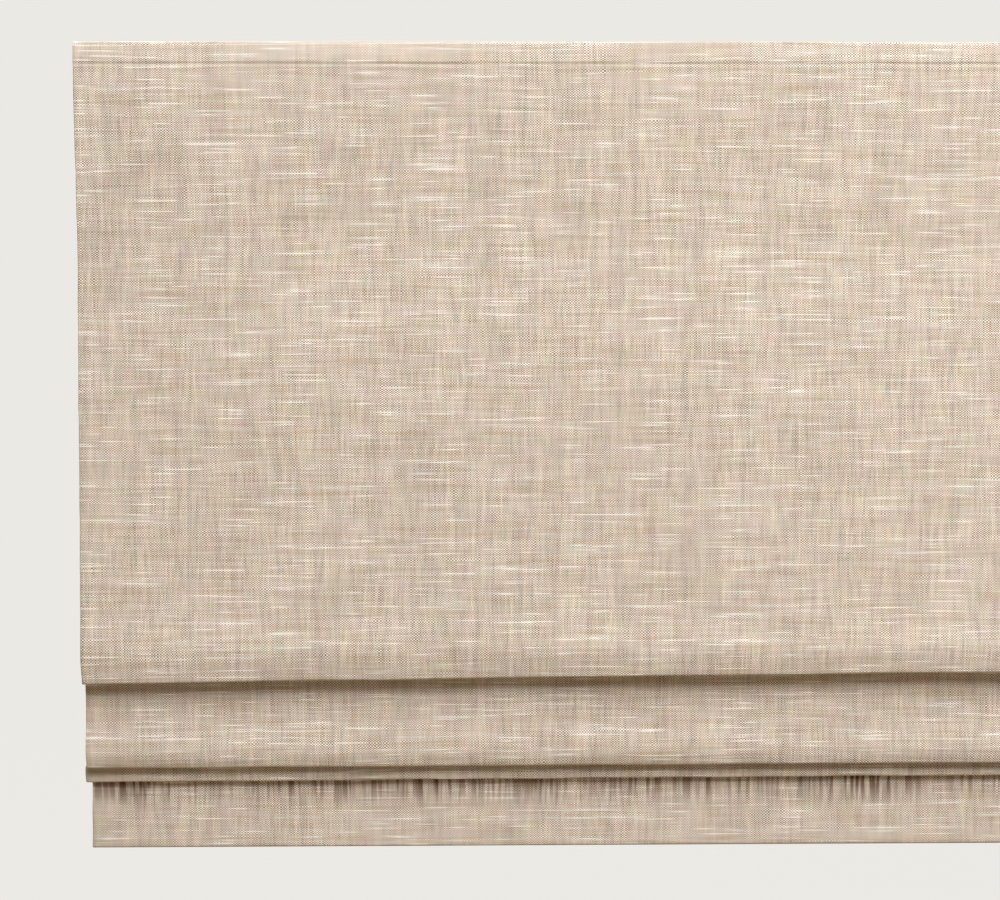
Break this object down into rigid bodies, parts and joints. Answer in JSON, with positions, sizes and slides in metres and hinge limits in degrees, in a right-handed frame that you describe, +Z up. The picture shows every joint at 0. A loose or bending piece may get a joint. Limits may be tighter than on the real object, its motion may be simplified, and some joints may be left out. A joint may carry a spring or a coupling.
{
  "type": "roman blind",
  "caption": "Lined flat-fold roman blind for a window recess, half raised, with soft folds gathered on ribs, a cloth-covered headrail and a cordless spring lift.",
  "frame": {"origin": "middle of the four bracket screws, on the underside of the window head", "axes": "+X across the window to the right as seen from the room, +Y out towards the glass, +Z up"},
  "size_m": [0.914, 0.0494, 0.7875],
  "materials": {
    "linen_cloth": "woven linen and cotton, matte",
    "lining_cloth": "plain cotton sateen lining",
    "rail_aluminium": "white powder coat on roll-formed aluminium",
    "cap_plastic": "moulded, satin",
    "bracket_steel": "zinc-plated spring steel",
    "tape_nylon": "woven hook-and-loop tape",
    "shaft_steel": "drawn rod",
    "spool_plastic": "moulded, satin",
    "cradle_plastic": "moulded, satin",
    "gear_plastic": "moulded acetal",
    "spring_steel": "bright rolled spring band",
    "frame_plastic": "moulded, dark grey",
    "rib_glassfibre": "pultruded glass-fibre rod",
    "sleeve_tape": "woven sleeve tape",
    "clip_plastic": "moulded, translucent white",
    "cord_polyester": "braided cord",
    "bar_steel": "white paint on flat steel bar"
  },
  "bodies": {
    "root": {"headrail_channel": "rail_aluminium", "headrail_cover": "linen_cloth", "end_cap_left": "cap_plastic", "end_cap_right": "cap_plastic", "bracket_left": "bracket_steel", "bracket_right": "bracket_steel", "hook_tape": "tape_nylon", "loop_tape": "tape_nylon", "cradle_left": "cradle_plastic", "cradle_middle": "cradle_plastic", "cradle_right": "cradle_plastic", "motor_frame": "frame_plastic", "motor_axles": "shaft_steel", "spring_band": "spring_steel", "face_fabric": "linen_cloth", "lining": "lining_cloth", "lift_cord_left": "cord_polyester", "lift_cord_middle": "cord_polyester", "lift_cord_right": "cord_polyester", "rib_rod_0": "rib_glassfibre", "rib_sleeve_0": "sleeve_tape", "rib_guides_0": "clip_plastic", "rib_caps_0": "clip_plastic"},
    "stack": {"rib_rod_1": "rib_glassfibre", "rib_sleeve_1": "sleeve_tape", "rib_guides_1": "clip_plastic", "rib_caps_1": "clip_plastic", "rib_rod_2": "rib_glassfibre", "rib_sleeve_2": "sleeve_tape", "rib_guides_2": "clip_plastic", "rib_caps_2": "clip_plastic", "rib_rod_3": "rib_glassfibre", "rib_sleeve_3": "sleeve_tape", "rib_guides_3": "clip_plastic", "rib_caps_3": "clip_plastic", "cord_stops": "clip_plastic", "weight_bar": "bar_steel", "weight_bar_caps": "cap_plastic"},
    "shaft": {"lift_shaft": "shaft_steel", "spool_left": "spool_plastic", "spool_middle": "spool_plastic", "spool_right": "spool_plastic", "cord_winding_left": "cord_polyester", "cord_winding_middle": "cord_polyester", "cord_winding_right": "cord_polyester", "drive_gear": "gear_plastic"},
    "output_drum": {"output_drum": "gear_plastic"},
    "storage_drum": {"storage_drum": "gear_plastic"}
  },
  "joints": [
    {"name": "shade_lift", "type": "slide", "parent": "root", "child": "stack", "axis": [0, 0, 1], "range_m": [-0.145, 0.17], "deforming": ["face_fabric", "lining", "lift_cord_left", "lift_cord_middle", "lift_cord_right"]},
    {"name": "shaft_turn", "type": "hinge", "parent": "root", "child": "shaft", "pos_m": [0, 0.00205, -0.0175], "axis": [1, 0, 0], "range_deg": [-966, 825]},
    {"name": "output_drum_turn", "type": "hinge", "parent": "root", "child": "output_drum", "pos_m": [0.19, 0.01305, -0.0175], "axis": [1, 0, 0], "range_deg": [-825, 966]},
    {"name": "storage_drum_turn", "type": "hinge", "parent": "root", "child": "storage_drum", "pos_m": [0.19, -0.00895, -0.0175], "axis": [1, 0, 0], "range_deg": [-653, 765]}
  ],
  "couplings": [
    {"joint": "shaft_turn", "follows": "shade_lift", "rad_per_m": -98.522},
    {"joint": "output_drum_turn", "follows": "shade_lift", "rad_per_m": 98.522},
    {"joint": "storage_drum_turn", "follows": "shade_lift", "rad_per_m": 77.935}
  ]
}
